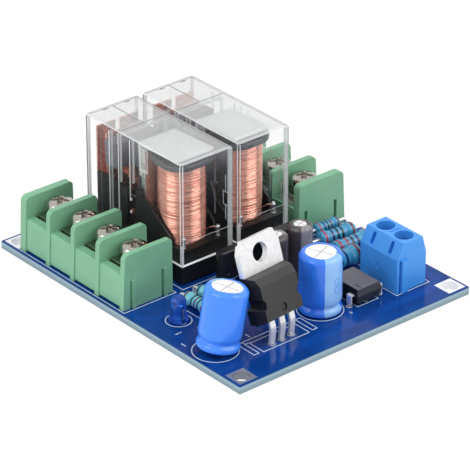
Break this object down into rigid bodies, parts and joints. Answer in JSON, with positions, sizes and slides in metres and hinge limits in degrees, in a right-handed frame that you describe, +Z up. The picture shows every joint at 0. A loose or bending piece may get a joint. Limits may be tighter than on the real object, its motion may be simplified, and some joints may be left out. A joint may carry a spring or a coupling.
{
  "type": "relay module board",
  "caption": "Blue relay module circuit board with clear-cover relays, green barrier terminals, a blue screw terminal, a leaning regulator, capacitors and resistors.",
  "frame": {"origin": "centre of the four corner holes, on the underside of the circuit board", "axes": "+Z up, square to the board on the component side; +Y along the board's long side, from the edge with the capacitors and the two-way terminal to the edge with the relays; +X to the right, seen with +Y away"},
  "size_m": [0.057, 0.072, 0.0292],
  "materials": {
    "board": "glossy blue solder mask on glass laminate",
    "solder": "bright tin",
    "green_housing": "semi-matt moulding",
    "blue_housing": "semi-matt moulding",
    "tinned_metal": "tinned",
    "nickel_steel": "nickel plated",
    "clear_cover": "clear and glossy",
    "black_moulding": "matt",
    "copper": "enamelled copper and copper strip",
    "steel": "plated",
    "package": "fine texture",
    "blue_sleeve": "shrunk sleeve",
    "dark_sleeve": "shrunk sleeve",
    "can": "bare drawn can",
    "resistor_blue": "lacquered with colour bands",
    "lens": "clear blue"
  },
  "bodies": {
    "board": {"circuit_board": "board", "corner_pads": "solder", "solder_joints": "solder", "left_terminal_housing": "green_housing", "left_terminal_contacts": "tinned_metal", "right_terminal_housing": "green_housing", "right_terminal_contacts": "tinned_metal", "power_terminal_housing": "blue_housing", "power_terminal_cages": "tinned_metal", "left_relay_cover": "clear_cover", "left_relay_base": "black_moulding", "left_relay_bobbin": "black_moulding", "left_relay_winding": "copper", "left_relay_core": "steel", "left_relay_yoke": "steel", "left_relay_fixed_contacts": "copper", "left_relay_coil_pins": "tinned_metal", "right_relay_cover": "clear_cover", "right_relay_base": "black_moulding", "right_relay_bobbin": "black_moulding", "right_relay_winding": "copper", "right_relay_core": "steel", "right_relay_yoke": "steel", "right_relay_fixed_contacts": "copper", "right_relay_coil_pins": "tinned_metal", "regulator_body": "package", "regulator_tab": "tinned_metal", "regulator_outer_legs": "tinned_metal", "leaning_capacitor_sleeve": "blue_sleeve", "leaning_capacitor_can": "can", "upright_capacitor_sleeve": "blue_sleeve", "upright_capacitor_can": "can", "small_capacitor_sleeves": "dark_sleeve", "small_capacitor_cans": "can", "capacitor_leads": "tinned_metal", "small_resistors": "resistor_blue", "power_resistors": "resistor_blue", "resistor_leads": "tinned_metal", "indicator_lens": "lens", "indicator_leads": "tinned_metal", "rectifier_body": "package", "rectifier_pins": "tinned_metal", "control_chip_body": "package", "control_chip_pins": "tinned_metal"},
    "left_armature": {"left_relay_armature": "steel", "left_relay_carrier": "black_moulding", "left_relay_moving_contacts": "copper"},
    "right_armature": {"right_relay_armature": "steel", "right_relay_carrier": "black_moulding", "right_relay_moving_contacts": "copper"},
    "left_clamp_screw_1": {"left_clamp_screw_1": "nickel_steel"},
    "left_clamp_screw_2": {"left_clamp_screw_2": "nickel_steel"},
    "left_clamp_screw_3": {"left_clamp_screw_3": "nickel_steel"},
    "left_clamp_screw_4": {"left_clamp_screw_4": "nickel_steel"},
    "right_clamp_screw_1": {"right_clamp_screw_1": "nickel_steel"},
    "right_clamp_screw_2": {"right_clamp_screw_2": "nickel_steel"},
    "right_clamp_screw_3": {"right_clamp_screw_3": "nickel_steel"},
    "right_clamp_screw_4": {"right_clamp_screw_4": "nickel_steel"},
    "power_clamp_screw_1": {"power_clamp_screw_1": "nickel_steel"},
    "power_clamp_screw_2": {"power_clamp_screw_2": "nickel_steel"}
  },
  "joints": [
    {"name": "left_armature_hinge", "type": "hinge", "parent": "board", "child": "left_armature", "pos_m": [-0.007, 0.0124, 0.0254], "axis": [1, 0, 0], "range_deg": [0, 3], "stiffness_Nm_per_rad": 0.01, "springref_deg": -8.59},
    {"name": "right_armature_hinge", "type": "hinge", "parent": "board", "child": "right_armature", "pos_m": [0.007, 0.0124, 0.0254], "axis": [1, 0, 0], "range_deg": [0, 3], "stiffness_Nm_per_rad": 0.01, "springref_deg": -8.59},
    {"name": "left_clamp_screw_1_travel", "type": "slide", "parent": "board", "child": "left_clamp_screw_1", "axis": [0, 0, 1], "range_m": [0, 0.0025]},
    {"name": "left_clamp_screw_2_travel", "type": "slide", "parent": "board", "child": "left_clamp_screw_2", "axis": [0, 0, 1], "range_m": [0, 0.0025]},
    {"name": "left_clamp_screw_3_travel", "type": "slide", "parent": "board", "child": "left_clamp_screw_3", "axis": [0, 0, 1], "range_m": [0, 0.0025]},
    {"name": "left_clamp_screw_4_travel", "type": "slide", "parent": "board", "child": "left_clamp_screw_4", "axis": [0, 0, 1], "range_m": [0, 0.0025]},
    {"name": "right_clamp_screw_1_travel", "type": "slide", "parent": "board", "child": "right_clamp_screw_1", "axis": [0, 0, 1], "range_m": [0, 0.0025]},
    {"name": "right_clamp_screw_2_travel", "type": "slide", "parent": "board", "child": "right_clamp_screw_2", "axis": [0, 0, 1], "range_m": [0, 0.0025]},
    {"name": "right_clamp_screw_3_travel", "type": "slide", "parent": "board", "child": "right_clamp_screw_3", "axis": [0, 0, 1], "range_m": [0, 0.0025]},
    {"name": "right_clamp_screw_4_travel", "type": "slide", "parent": "board", "child": "right_clamp_screw_4", "axis": [0, 0, 1], "range_m": [0, 0.0025]},
    {"name": "power_clamp_screw_1_travel", "type": "slide", "parent": "board", "child": "power_clamp_screw_1", "axis": [0, 0, 1], "range_m": [0, 0.0025]},
    {"name": "power_clamp_screw_2_travel", "type": "slide", "parent": "board", "child": "power_clamp_screw_2", "axis": [0, 0, 1], "range_m": [0, 0.0025]}
  ]
}
